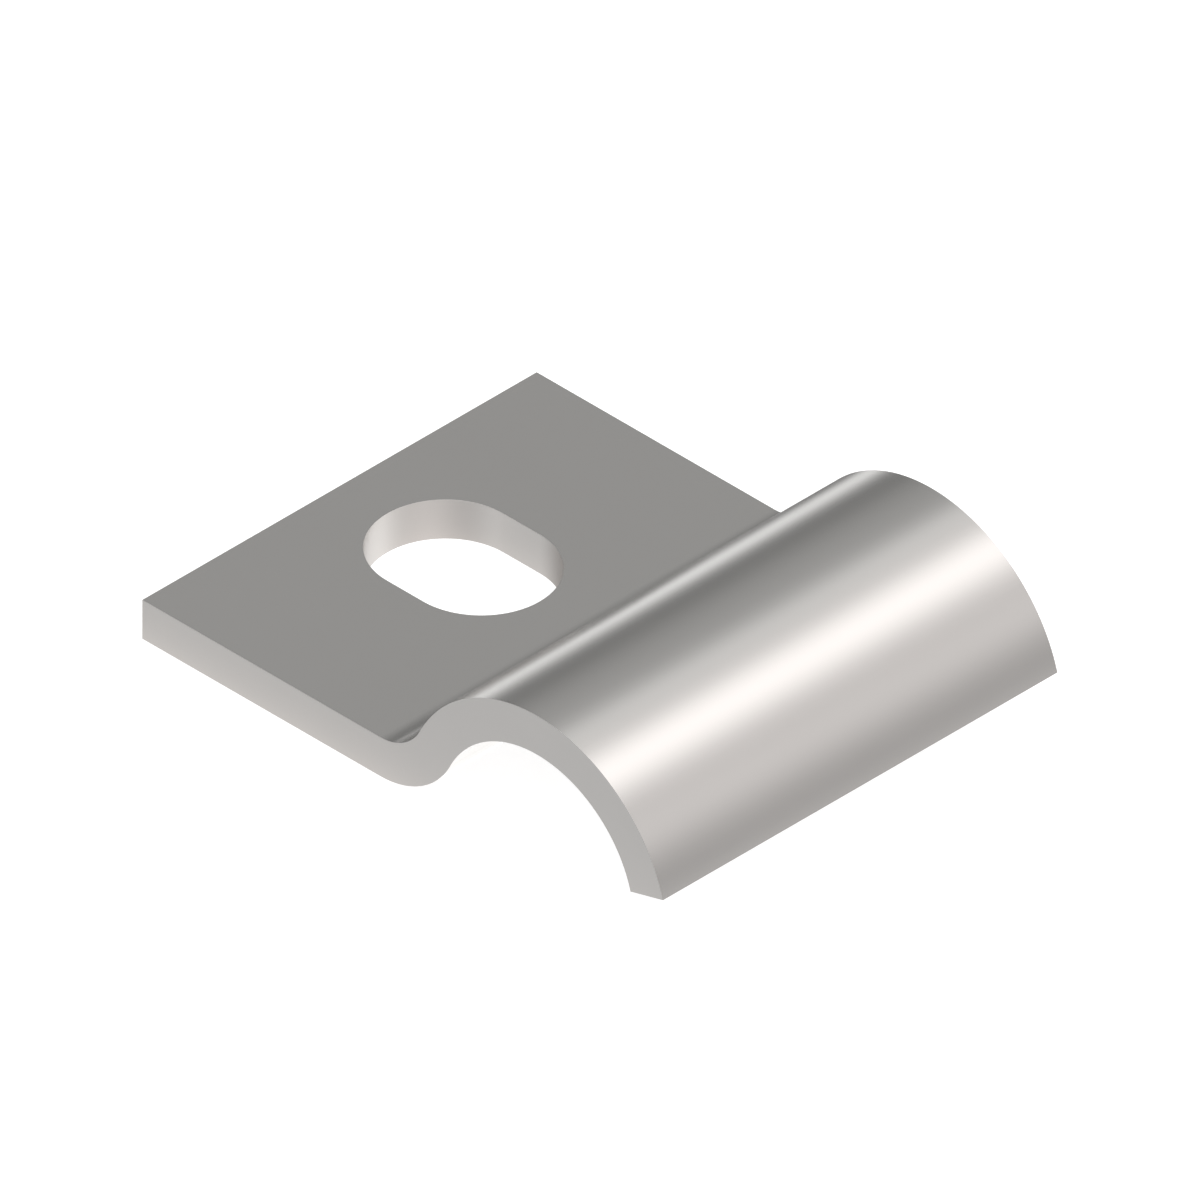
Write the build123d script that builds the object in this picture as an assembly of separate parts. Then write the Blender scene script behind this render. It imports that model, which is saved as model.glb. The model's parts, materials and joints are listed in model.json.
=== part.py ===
from build123d import *
import os
from math import atan2, degrees, sqrt

# Flange clamp half: one strip of sheet, bent so that it holds a tube down on a flat surface with one bolt.
# The flange lies flat, rises through one bend and turns over the tube as a saddle that ends in a lip.
# Origin: on the tube's axis, at mid-width, on the plane of the mounting face.
# +X runs along the tube, +Y towards the flange's free edge and +Z away from the mounting face.

# Driving dimensions, in millimetres and degrees.
tube_diameter = 17.2  # outside diameter of the tube that the saddle holds
sheet_thickness = 3.0
clamp_width = 35.0  # along the tube
bend_radius = 4.0  # inside radius of the bend between flange and saddle
lip_angle = 15.0  # the saddle ends this far above the mounting plane, seen from the tube's axis
bolt_reach = 15.4  # from the tube's surface to the middle of the slot
edge_margin = 11.0  # from the middle of the slot to the flange's free edge
slot_width = 10.3  # lets a 10 mm bolt through
slot_travel = 3.2  # how far the bolt can shift towards the tube or away from it

# Sizes that follow from them.
seat_radius = tube_diameter / 2
heel_radius = bend_radius + sheet_thickness
slot_y = seat_radius + bolt_reach
flange_end_y = slot_y + edge_margin

# The heel's arc touches the mounting plane and the tube's circle, which places its centre.
bend_y = sqrt((seat_radius + heel_radius) ** 2 - heel_radius**2)
bend_angle = degrees(atan2(heel_radius, bend_y))


def tube_side():
    """The strip's lower line in section: straight under the flange, round the heel and over the tube."""
    under_flange = Line((flange_end_y, 0), (bend_y, 0))
    heel = CenterArc((bend_y, heel_radius), heel_radius, start_angle=270, arc_size=bend_angle - 90)
    seat = CenterArc((0, 0), seat_radius, start_angle=bend_angle, arc_size=180 - lip_angle - bend_angle)
    return Wire([under_flange, heel, seat])


def formed_strip():
    """The sheet's section, one thickness above the lower line, drawn out to both sides along the tube."""
    outline = tube_side().offset_2d(sheet_thickness, kind=Kind.ARC, side=Side.RIGHT, closed=True)
    section = Plane.YZ * Face(outline)
    return extrude(section, amount=clamp_width / 2, both=True)


def bolt_slot():
    """The slot as a round-ended prism through the flange, long in the direction that the bolt can shift."""
    outline = Pos(0, slot_y, 0) * SlotCenterToCenter(slot_travel, slot_width, rotation=90)
    return extrude(outline, amount=sheet_thickness)


clamp_half = formed_strip() - bolt_slot()

os.makedirs("parts", exist_ok=True)
export_step(clamp_half, "parts/clamp_half.step")
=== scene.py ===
import json
from functools import partial
from math import cos, log, pi, radians, sin

import bpy
import numpy as np
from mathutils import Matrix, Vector


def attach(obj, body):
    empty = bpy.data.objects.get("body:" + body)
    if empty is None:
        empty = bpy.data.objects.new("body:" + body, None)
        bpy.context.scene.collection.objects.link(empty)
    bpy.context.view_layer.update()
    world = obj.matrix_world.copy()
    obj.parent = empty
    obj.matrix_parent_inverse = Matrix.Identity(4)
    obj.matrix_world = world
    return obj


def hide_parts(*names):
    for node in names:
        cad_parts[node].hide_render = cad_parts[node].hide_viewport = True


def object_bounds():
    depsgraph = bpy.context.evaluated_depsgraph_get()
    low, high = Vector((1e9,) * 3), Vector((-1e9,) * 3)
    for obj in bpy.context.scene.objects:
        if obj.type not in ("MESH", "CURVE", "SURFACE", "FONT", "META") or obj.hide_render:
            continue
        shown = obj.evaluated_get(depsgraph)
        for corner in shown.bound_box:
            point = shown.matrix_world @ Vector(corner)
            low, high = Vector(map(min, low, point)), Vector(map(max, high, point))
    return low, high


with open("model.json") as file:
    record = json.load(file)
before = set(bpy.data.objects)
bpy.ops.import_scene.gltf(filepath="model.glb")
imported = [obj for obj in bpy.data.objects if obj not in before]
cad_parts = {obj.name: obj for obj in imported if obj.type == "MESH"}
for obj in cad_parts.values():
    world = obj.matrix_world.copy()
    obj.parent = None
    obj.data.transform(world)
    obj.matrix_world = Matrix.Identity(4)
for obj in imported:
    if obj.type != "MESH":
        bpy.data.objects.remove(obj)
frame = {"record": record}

# a flange clamp half: one bent sheet, dressed around the CAD solid of the same form

mm = 0.001
tiny = 1e-9  # keeps a division from being by nothing
cadBox = [list(corner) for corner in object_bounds()]
mounts = {m["name"]: m for m in frame["record"]["mounts"]}
print("frame loaded, CAD box", [[round(v / mm, 3) for v in corner] for corner in cadBox])


# the bent sheet

sheet = {
    "seatRadius": mounts["tube_seat"]["dims"]["r_mm"] * mm,
    "width": mounts["tube_seat"]["dims"]["length_mm"] * mm,
    "slotMiddle": mounts["bolt_slot"]["pos_m"][1],
    "slotRadius": mounts["bolt_slot"]["dims"]["hole_r_mm"] * mm,
    "slotLength": mounts["bolt_slot"]["dims"]["slot_length_mm"] * mm,
    "flangeEnd": round(cadBox[1][1], 6),
    "thickness": 3.0 * mm,
    "bendInside": 4.0 * mm,
    "lipAngle": radians(15.0),
    "edgeBreak": 0.015 * mm,  # the rounding left on every cut edge
    "acrossSteps": 48,
    "besideSlotSteps": 40,
    "heelSteps": 64,
    "saddleSteps": 150,
    "slotRings": 10,
    "ringCrowding": 1.5,  # above 1 the rings crowd towards the slot
    "breakSteps": 4,
    "cornerSteps": 6,
    "weldGap": 1e-8,  # points of the blank that fall in the same step of this size are one
    "map": "blank",  # the flat layout in millimetres, which the cut faces' finish follows
}

bendOutside = sheet["bendInside"] + sheet["thickness"]
bendY = ((sheet["seatRadius"] + bendOutside) ** 2 - bendOutside**2) ** 0.5
bendAngle = np.arctan2(bendOutside, bendY)
heelTurn = pi / 2 - bendAngle
saddleTurn = pi - sheet["lipAngle"] - bendAngle
heelMiddle = sheet["bendInside"] + sheet["thickness"] / 2  # mid-sheet radii, which keep their length
saddleMiddle = sheet["seatRadius"] + sheet["thickness"] / 2
flangeLength = sheet["flangeEnd"] - bendY
heelLength = heelMiddle * heelTurn
stripLength = flangeLength + heelLength + saddleMiddle * saddleTurn
slotTravel = sheet["slotLength"] / 2 - sheet["slotRadius"]  # from the slot's middle to a round end's centre
slotRimStart = 3 * stripLength  # where the slot's rim begins on the rims' map


def bendPlace(along, above):
    # flat (along, above) to bent (y, z), and the direction there that was up from the blank: straight on the
    # flange, then a turn about the bend's centre at radius outside - above, then a turn about the tube's
    # axis at radius seat + above
    heelAngle = 1.5 * pi - np.clip((along - flangeLength) / heelMiddle, 0, heelTurn)
    saddleAngle = bendAngle + (along - flangeLength - heelLength) / saddleMiddle
    onFlange = along < flangeLength
    onSaddle = along > flangeLength + heelLength
    y = np.where(onFlange, sheet["flangeEnd"] - along, bendY + (bendOutside - above) * np.cos(heelAngle))
    z = np.where(onFlange, above, bendOutside + (bendOutside - above) * np.sin(heelAngle))
    y = np.where(onSaddle, (sheet["seatRadius"] + above) * np.cos(saddleAngle), y)
    z = np.where(onSaddle, (sheet["seatRadius"] + above) * np.sin(saddleAngle), z)
    upAngle = np.where(onSaddle, saddleAngle, heelAngle - pi)
    return y, z, np.cos(upAngle), np.sin(upAngle)


def gridQuads(rows, columns, wrap=False):
    # corner numbers of every cell of a rows x columns grid, the last column joined to the first if it wraps
    cells = columns if wrap else columns - 1
    row, column = np.meshgrid(np.arange(rows - 1), np.arange(cells), indexing="ij")
    following = (column + 1) % columns
    first, second = row * columns, (row + 1) * columns
    quads = [first + column, first + following, second + following, second + column]
    return np.stack(quads, -1).reshape(-1, 4)


def slotOutline(towards, radius):
    # where rays from the slot's middle cross its outline, and the outward direction there: the distance is
    # travel * |along| + root(radius^2 - travel^2 * across^2) on the round ends, and radius / |across| on
    # the straight sides
    unit = towards / np.linalg.norm(towards, axis=1, keepdims=True)
    reach = slotTravel * np.abs(unit[:, 0]) + np.sqrt(radius**2 - (slotTravel * unit[:, 1]) ** 2)
    toSide = radius / np.maximum(np.abs(unit[:, 1]), tiny)
    onSide = toSide * np.abs(unit[:, 0]) <= slotTravel
    point = unit * np.where(onSide, toSide, reach)[:, None]
    centre = np.clip(point[:, 0], -slotTravel, slotTravel)
    outward = (point - np.stack([centre, np.zeros_like(centre)], 1)) / radius
    return point, outward


def rimBand(points, outward, start):
    # an edge's rounded profile carried along a closed outline: over the upper break, down the cut wall and
    # under the lower break, where each break is edgeBreak * (sin, cos) of an angle from 0 to a quarter turn
    turn = np.linspace(0, pi / 2, sheet["breakSteps"] + 1)
    out = np.r_[np.sin(turn), np.sin(turn[::-1])]
    up = np.r_[np.cos(turn), -np.cos(turn[::-1])]
    low, high = sheet["edgeBreak"], sheet["thickness"] - sheet["edgeBreak"]
    above = np.where(np.arange(len(out)) < len(turn), high, low) + sheet["edgeBreak"] * up
    sideways = outward[None] * out[:, None, None]
    plan = points[None] + sideways * sheet["edgeBreak"]
    height = np.broadcast_to(above[:, None, None], plan.shape[:2] + (1,))
    upright = np.broadcast_to(up[:, None, None], plan.shape[:2] + (1,))
    place = np.concatenate([plan, height], -1)
    normal = np.concatenate([sideways, upright], -1)
    steps = np.linalg.norm(np.diff(points, axis=0, append=points[:1]), axis=1)
    travelled = start + np.cumsum(steps) - steps[0]
    mapped = np.stack(np.broadcast_arrays(travelled[None], above[:, None]), -1)
    quads = gridQuads(len(out), len(points), True)
    return place.reshape(-1, 3), normal.reshape(-1, 3), mapped.reshape(-1, 2), quads


def sheetSkins(alongAcross, quads):
    # the same flat grid as the upper skin and, turned over, as the lower one
    skins = []
    for above, up in ((sheet["thickness"], 1.0), (0.0, -1.0)):
        place = np.c_[alongAcross, np.full(len(alongAcross), above)]
        normal = np.tile([0.0, 0.0, up], (len(place), 1))
        skins.append((place, normal, alongAcross, quads if up < 0 else quads[:, ::-1]))
    return skins


def blankPieces():
    # the flat blank: a ringed plate round the slot, a plain grid for the bend and saddle, and the cut rims
    inset, half = sheet["edgeBreak"], sheet["width"] / 2
    across = np.linspace(-half + inset, half - inset, sheet["acrossSteps"] + 1)
    beside = np.linspace(inset, flangeLength, sheet["besideSlotSteps"] + 1)
    heel = flangeLength + np.linspace(0, heelLength, sheet["heelSteps"] + 1)
    saddleEnd = stripLength - inset
    saddle = np.linspace(flangeLength + heelLength, saddleEnd, sheet["saddleSteps"] + 1)
    bent = np.r_[heel, saddle[1:]]

    # round the slot: rays from its middle to a walk round the flange's inset rectangle, with the rings at
    # share^crowding of the way out
    walk = np.concatenate([
        np.stack([np.full(len(across) - 1, beside[0]), across[:-1]], 1),
        np.stack([beside[:-1], np.full(len(beside) - 1, across[-1])], 1),
        np.stack([np.full(len(across) - 1, beside[-1]), across[:0:-1]], 1),
        np.stack([beside[:0:-1], np.full(len(beside) - 1, across[0])], 1),
    ])
    middle = np.array([sheet["flangeEnd"] - sheet["slotMiddle"], 0.0])
    slotPoint, slotOut = slotOutline(walk - middle, sheet["slotRadius"] + inset)
    share = np.linspace(0, 1, sheet["slotRings"] + 1)[:, None, None] ** sheet["ringCrowding"]
    rings = (middle + slotPoint)[None] * (1 - share) + walk[None] * share
    plate = sheetSkins(rings.reshape(-1, 2), gridQuads(len(rings), len(walk), True)[:, ::-1])

    grid = np.stack(np.meshgrid(bent, across, indexing="ij"), -1)
    strip = sheetSkins(grid.reshape(-1, 2), gridQuads(len(bent), len(across)))

    # the outer rim: along each side in turn, with the outward direction swept round at the corners
    sideWalk = np.r_[beside, bent[1:]]
    sides = [
        (np.stack([np.full_like(across, inset), across], 1), pi),
        (np.stack([sideWalk, np.full_like(sideWalk, across[-1])], 1), pi / 2),
        (np.stack([np.full_like(across, saddleEnd), across[::-1]], 1), 0.0),
        (np.stack([sideWalk[::-1], np.full_like(sideWalk, across[0])], 1), -pi / 2),
    ]
    points, headings = [], []
    for side, heading in sides:
        corner = np.linspace(heading, heading - pi / 2, sheet["cornerSteps"] + 1)[1:-1]
        points += [side, np.repeat(side[-1:], len(corner), 0)]
        headings += [np.full(len(side), heading), corner]
    points, headings = np.concatenate(points), np.concatenate(headings)
    outward = np.stack([np.cos(headings), np.sin(headings)], 1)
    outerRim = rimBand(points, outward, 0.0)
    slotRim = rimBand((middle + slotPoint)[::-1], -slotOut[::-1], slotRimStart)
    return plate + strip, [outerRim, slotRim]


def meshFromPieces(name, skins, rims):
    # welds the pieces where they meet, bends the blank, and writes places, normals, map and finish into a
    # mesh as whole arrays; the finish is 0 on the skins and 1 on the rims
    pieces = skins + rims
    starts = np.cumsum([0] + [len(p[0]) for p in pieces[:-1]])
    place, normal, mapped = (np.concatenate([p[i] for p in pieces]) for i in range(3))
    quads = np.concatenate([p[3] + start for p, start in zip(pieces, starts)])
    finish = np.repeat(np.arange(len(pieces)) >= len(skins), [len(p[3]) for p in pieces]).astype(np.int32)

    weld = np.round(place / sheet["weldGap"]).astype(np.int64)
    _, first, number = np.unique(weld, axis=0, return_index=True, return_inverse=True)
    corner = number.reshape(-1)[quads]

    # a corner that falls on its neighbour goes, as at the blank's corners, and a face left with two goes too
    kept = corner != np.roll(corner, -1, 1)
    whole = kept.sum(1) > 2
    kept, corner, quads, finish = kept[whole], corner[whole], quads[whole], finish[whole]
    cornerCounts = kept.sum(1)

    # each normal turns with the sheet: its flat upward part follows up, its part along the blank follows go
    along, across, above = place[first].T
    y, z, upY, upZ = bendPlace(along, above)
    goY, goZ = -upZ, upY
    flatAlong, flatAcross, flatUp = normal[first].T
    bentNormal = np.stack([flatAcross, flatAlong * goY + flatUp * upY, flatAlong * goZ + flatUp * upZ], 1)

    mesh = bpy.data.meshes.new(name)
    mesh.vertices.add(len(first))
    mesh.vertices.foreach_set("co", np.stack([across, y, z], 1).astype(np.float32).ravel())
    mesh.loops.add(int(cornerCounts.sum()))
    mesh.loops.foreach_set("vertex_index", corner[kept].astype(np.int32))
    mesh.polygons.add(len(cornerCounts))
    mesh.polygons.foreach_set("loop_start", (np.cumsum(cornerCounts) - cornerCounts).astype(np.int32))
    mesh.polygons.foreach_set("material_index", finish)
    mesh.polygons.foreach_set("use_smooth", np.ones(len(cornerCounts), bool))
    flatMap = mesh.uv_layers.new(name=sheet["map"])
    flatMap.data.foreach_set("uv", (mapped[quads][kept] / mm).astype(np.float32).ravel())
    mesh.update(calc_edges=True)
    mesh.validate()
    bentNormal /= np.linalg.norm(bentNormal, axis=1, keepdims=True)
    mesh.normals_split_custom_set_from_vertices(bentNormal)
    return mesh


clampMesh = meshFromPieces("clampBody", *blankPieces())
clampBody = bpy.data.objects.new("clampBody", clampMesh)
bpy.context.scene.collection.objects.link(clampBody)
print("sheet made:", len(clampMesh.vertices), "vertices,", len(clampMesh.polygons), "faces")


# node steps that the metal, the floor and the light share

def newMaterial(name):
    material = bpy.data.materials.new(name)
    material.use_nodes = True
    return material, material.node_tree


def feed(tree, node, *values):
    # gives the node's inputs their values in order: another node's output is linked, anything else is set
    for socket, value in zip(node.inputs, values):
        if isinstance(value, bpy.types.NodeSocket):
            tree.links.new(value, socket)
        else:
            socket.default_value = value


def calculate(tree, operation, *values):
    step = tree.nodes.new("ShaderNodeMath")
    step.operation = operation
    feed(tree, step, *values)
    return step.outputs["Value"]


def calculateVector(tree, operation, *values):
    # of the operations used here, only a dot product gives a number
    step = tree.nodes.new("ShaderNodeVectorMath")
    step.operation = operation
    feed(tree, step, *values)
    return step.outputs["Value" if operation == "DOT_PRODUCT" else "Vector"]


# metal

steel = {
    "tint": (0.508, 0.500, 0.484),
    "noiseRange": (0.3, 0.7),  # what the noise keeps between
    "marksDetail": 3.0,
    "cloudsDetail": 2.0,
    "cloudShare": 0.5,  # the clouds' part in the change of shade; the marks have the rest
    "gloss": (0.254, 0.270),  # roughness between the rolling marks and on them
    "shade": 0.008,  # share by which the marks are darker and lighter
    "marksPerMetre": 8000.0,
    "markLength": 20.0,  # how much longer than wide a rolling mark is
    "markDepth": 0.15e-6,
    "cloudsPerMetre": 90.0,
    "cutGloss": (0.285, 0.315),
    "cutShade": 0.010,
    "cutLinesPerMillimetre": 6.0,
    "cutLineLength": 2.5,  # millimetres through the thickness
    "cutCloudsPerMillimetre": 0.3,
    "cutDepth": 0.5e-6,
}


def spread(tree, value, low, high):
    # a noise value carried from the range that it keeps to low and high
    span = tree.nodes.new("ShaderNodeMapRange")
    feed(tree, span, value, *steel["noiseRange"], low, high)
    return span.outputs["Result"]


def addNoise(tree, vector, scale, detail):
    noise = tree.nodes.new("ShaderNodeTexNoise")
    noise.inputs["Scale"].default_value = scale
    noise.inputs["Detail"].default_value = detail
    tree.links.new(vector, noise.inputs["Vector"])
    return noise.outputs["Fac"]


def finishMetal(name, flatMap, stretch, marks, clouds, gloss, shade, depth):
    # marks on stretched coordinates change gloss, depth and shade together, and clouds are a wider, fainter
    # change of shade; both follow the named flat map, or the object's own coordinates where none is named
    material, tree = newMaterial(name)
    nodes, links = tree.nodes, tree.links
    shader = nodes["Principled BSDF"]
    shader.inputs["Metallic"].default_value = 1.0
    if flatMap:
        layout = nodes.new("ShaderNodeUVMap")
        layout.uv_map = flatMap
        place = layout.outputs["UV"]
    else:
        place = nodes.new("ShaderNodeTexCoord").outputs["Object"]
    mapping = nodes.new("ShaderNodeMapping")
    mapping.inputs["Scale"].default_value = stretch
    links.new(place, mapping.inputs["Vector"])
    marked = addNoise(tree, mapping.outputs["Vector"], marks, steel["marksDetail"])
    clouded = addNoise(tree, place, clouds, steel["cloudsDetail"])
    links.new(spread(tree, marked, *gloss), shader.inputs["Roughness"])

    cloudShare = steel["cloudShare"]
    markPart = calculate(tree, "MULTIPLY", marked, 1 - cloudShare)
    both = calculate(tree, "MULTIPLY_ADD", clouded, cloudShare, markPart)
    tone = nodes.new("ShaderNodeMix")
    tone.data_type = "RGBA"
    tone.inputs["A"].default_value = (*[c * (1 - shade) for c in steel["tint"]], 1)
    tone.inputs["B"].default_value = (*[c * (1 + shade) for c in steel["tint"]], 1)
    links.new(spread(tree, both, 0.0, 1.0), tone.inputs["Factor"])
    links.new(tone.outputs["Result"], shader.inputs["Base Color"])

    bump = nodes.new("ShaderNodeBump")
    bump.inputs["Distance"].default_value = depth
    links.new(marked, bump.inputs["Height"])
    links.new(bump.outputs["Normal"], shader.inputs["Normal"])
    return material


def rolledFinish():
    # satin sheet: fine rolling marks along the tube
    return finishMetal(
        "rolledSteel",
        flatMap=None,
        stretch=(1 / steel["markLength"], 1, 1),
        marks=steel["marksPerMetre"],
        clouds=steel["cloudsPerMetre"],
        gloss=steel["gloss"],
        shade=steel["shade"],
        depth=steel["markDepth"],
    )


def cutFinish():
    # cut faces: fine lines through the thickness, laid out along the rims by the map in millimetres
    return finishMetal(
        "cutSteel",
        flatMap=sheet["map"],
        stretch=(steel["cutLinesPerMillimetre"], 1 / steel["cutLineLength"], 1),
        marks=1.0,
        clouds=steel["cutCloudsPerMillimetre"],
        gloss=steel["cutGloss"],
        shade=steel["cutShade"],
        depth=steel["cutDepth"],
    )


clampMesh.materials.append(rolledFinish())
clampMesh.materials.append(cutFinish())
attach(clampBody, "root")
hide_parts("clamp_half")
print("metal given to the sheet")


# floor, studio light and camera

studio = {
    "floorSize": 6.0,
    "floorColour": (0.50, 0.50, 0.50),
    "floorGlow": 0.80,  # a lit table: the background stays white and the shadow faint
    "bounce": 0.22,  # extra light from the table right beside the clamp
    "bounceReach": 2.3 * mm,
    "bounceColour": (1.12, 0.98, 0.90),
    "bounceSize": 0.12,
    "bounceDepth": 0.02 * mm,  # it lies just under the table's top, which the metal doesn't mirror
    "sky": (0.02, 0.02, 0.02),
    # long lamps parallel to the tube: turn about it from the lip's horizon over the top, width, strength
    # and colour, with the angles in degrees
    "strips": {
        "lipSide": (30.5, 39.5, 1.00, (1.03, 0.995, 0.995)),
        "main": (74.0, 32.5, 2.12, (1.035, 1.0, 1.0)),
        "crown": (106.0, 15.0, 0.71, (1.0, 1.0, 1.0)),
        "overFlange": (130.0, 56.0, 0.53, (1.0, 1.0, 1.0)),
        "behind": (186.5, 17.0, 1.54, (1.0, 1.0, 1.0)),
    },
    # round lamps below the horizon, which the cut faces and the seat mirror: azimuth, elevation, width,
    # strength and colour
    "rounds": {
        "front": (143.5, -58.0, 57.0, 1.32, (1.0, 0.995, 1.005)),
        "farSide": (-28.0, -31.5, 56.0, 1.17, (1.01, 1.0, 1.0)),
        "back": (-111.0, -44.5, 74.0, 0.99, (1.04, 0.995, 0.99)),
        "seatNarrow": (43.5, -40.5, 12.5, 3.46, (1.0, 1.0, 1.0)),
        "seatWide": (14.5, -52.0, 25.5, 1.31, (1.0, 1.0, 1.0)),
    },
    "cameraAzimuth": -45.0,
    "cameraElevation": 35.2644,  # the isometric angle
    "cameraWidth": 75.27 * mm,
    "cameraAim": (2.788 * mm, 14.673 * mm, 3.0 * mm),
    "cameraDistance": 0.6,
    "cameraClip": (0.01, 20.0),
}


def levelSquare(name, size, height):
    half = size / 2
    corners = [(-half, -half, height), (half, -half, height), (half, half, height), (-half, half, height)]
    mesh = bpy.data.meshes.new(name)
    mesh.from_pydata(corners, [], [(0, 1, 2, 3)])
    square = bpy.data.objects.new(name, mesh)
    bpy.context.scene.collection.objects.link(square)
    return square


def makeFloor():
    # a wide white square; the metal mirrors the studio and not this table, as on a clear light table
    floor = levelSquare("floor", studio["floorSize"], 0.0)
    material, tree = newMaterial("paleFloor")
    shader = tree.nodes["Principled BSDF"]
    shader.inputs["Base Color"].default_value = (*studio["floorColour"], 1)
    shader.inputs["Roughness"].default_value = 1.0
    shader.inputs["Specular IOR Level"].default_value = 0.0
    shader.inputs["Emission Color"].default_value = (1, 1, 1, 1)
    shader.inputs["Emission Strength"].default_value = studio["floorGlow"]
    floor.data.materials.append(material)
    floor.visible_glossy = False
    floor.visible_shadow = False


def makeBounce():
    # light that the table throws up at the cut faces: bounce * exp(-distance / reach), with the distance
    # from the nearest edge of the metal as seen from above, the slot's included
    bounce = levelSquare("tableBounce", studio["bounceSize"], -studio["bounceDepth"])
    material, tree = newMaterial("warmBounce")
    nodes, links = tree.nodes, tree.links
    nodes.remove(nodes["Principled BSDF"])
    step = partial(calculate, tree)

    place = nodes.new("ShaderNodeSeparateXYZ")
    links.new(nodes.new("ShaderNodeTexCoord").outputs["Object"], place.inputs["Vector"])
    x, y = place.outputs["X"], place.outputs["Y"]
    beside = step("SUBTRACT", step("ABSOLUTE", x), sheet["width"] / 2)
    behind = step("SUBTRACT", y, sheet["flangeEnd"])
    before = step("SUBTRACT", cadBox[0][1], y)
    outside = step("MAXIMUM", beside, step("MAXIMUM", behind, before))
    fromMiddle = step("ABSOLUTE", step("SUBTRACT", y, sheet["slotMiddle"]))
    pastTravel = step("MAXIMUM", step("SUBTRACT", fromMiddle, slotTravel), 0.0)
    square = step("ADD", step("MULTIPLY", x, x), step("MULTIPLY", pastTravel, pastTravel))
    inSlot = step("SUBTRACT", sheet["slotRadius"], step("SQRT", square))
    away = step("ABSOLUTE", step("MAXIMUM", outside, inSlot))
    glow = step("EXPONENT", step("DIVIDE", away, -studio["bounceReach"]))

    emission = nodes.new("ShaderNodeEmission")
    emission.inputs["Color"].default_value = (*studio["bounceColour"], 1)
    links.new(step("MULTIPLY", glow, studio["bounce"]), emission.inputs["Strength"])
    clear = nodes.new("ShaderNodeBsdfTransparent")
    through = nodes.new("ShaderNodeAddShader")
    feed(tree, through, clear.outputs["BSDF"], emission.outputs["Emission"])
    links.new(through.outputs["Shader"], nodes["Material Output"].inputs["Surface"])
    bounce.data.materials.append(material)
    bounce.visible_camera = bounce.visible_diffuse = bounce.visible_shadow = False


def towards(azimuth, elevation):
    # the unit vector at an azimuth from +X towards +Y and an elevation above the table, in degrees
    flat = cos(radians(elevation))
    return Vector((flat * cos(radians(azimuth)), flat * sin(radians(azimuth)), sin(radians(elevation))))


def addLamp(tree, seen, direction, width, strength, colour, light):
    # light + strength * exp(sharpness * (cos(angle) - 1)), which halves at half the width from the middle
    sharpness = log(2) / (1 - cos(radians(width / 2)))
    facing = calculateVector(tree, "DOT_PRODUCT", seen, direction)
    fall = calculate(tree, "EXPONENT", calculate(tree, "MULTIPLY_ADD", facing, sharpness, -sharpness))
    return calculateVector(tree, "MULTIPLY_ADD", [strength * c for c in colour], fall, light)


def makeStudio():
    # the room as seen by the metal: soft lamps on a dim sky, strips judged by their turn about the tube
    # alone; the camera sees a plain white backdrop instead
    world = bpy.data.worlds.new("studio")
    bpy.context.scene.world = world
    world.use_nodes = True
    tree = world.node_tree
    nodes, links = tree.nodes, tree.links
    seen = nodes.new("ShaderNodeTexCoord").outputs["Generated"]
    turned = calculateVector(tree, "NORMALIZE", calculateVector(tree, "MULTIPLY", seen, (0, 1, 1)))
    light = studio["sky"]
    for turn, width, strength, colour in studio["strips"].values():
        direction = Vector((0, -cos(radians(turn)), sin(radians(turn))))
        light = addLamp(tree, turned, direction, width, strength, colour, light)
    for azimuth, elevation, width, strength, colour in studio["rounds"].values():
        light = addLamp(tree, seen, towards(azimuth, elevation), width, strength, colour, light)
    links.new(light, nodes["Background"].inputs["Color"])

    backdrop = nodes.new("ShaderNodeBackground")
    backdrop.inputs["Color"].default_value = (1, 1, 1, 1)
    rays = nodes.new("ShaderNodeLightPath")
    choice = nodes.new("ShaderNodeMixShader")
    room = nodes["Background"].outputs["Background"]
    feed(tree, choice, rays.outputs["Is Camera Ray"], room, backdrop.outputs["Background"])
    links.new(choice.outputs["Shader"], nodes["World Output"].inputs["Surface"])


def makeCamera():
    # looks at its aim from an azimuth, which is 0 in front of the lip and grows towards +X, and an elevation
    azimuth, elevation = radians(studio["cameraAzimuth"]), radians(studio["cameraElevation"])
    back = Vector((sin(azimuth) * cos(elevation), -cos(azimuth) * cos(elevation), sin(elevation)))
    camera = bpy.data.objects.new("camera", bpy.data.cameras.new("camera"))
    bpy.context.scene.collection.objects.link(camera)
    camera.data.type = "ORTHO"
    camera.data.ortho_scale = studio["cameraWidth"]
    camera.data.clip_start, camera.data.clip_end = studio["cameraClip"]
    camera.location = Vector(studio["cameraAim"]) + back * studio["cameraDistance"]
    camera.rotation_mode = "QUATERNION"
    camera.rotation_quaternion = (-back).to_track_quat("-Z", "Y")
    bpy.context.scene.camera = camera


makeFloor()
makeBounce()
makeStudio()
makeCamera()
bpy.context.scene.view_settings.view_transform = "Standard"
bpy.context.scene.view_settings.look = "None"
print("floor, light and camera set")
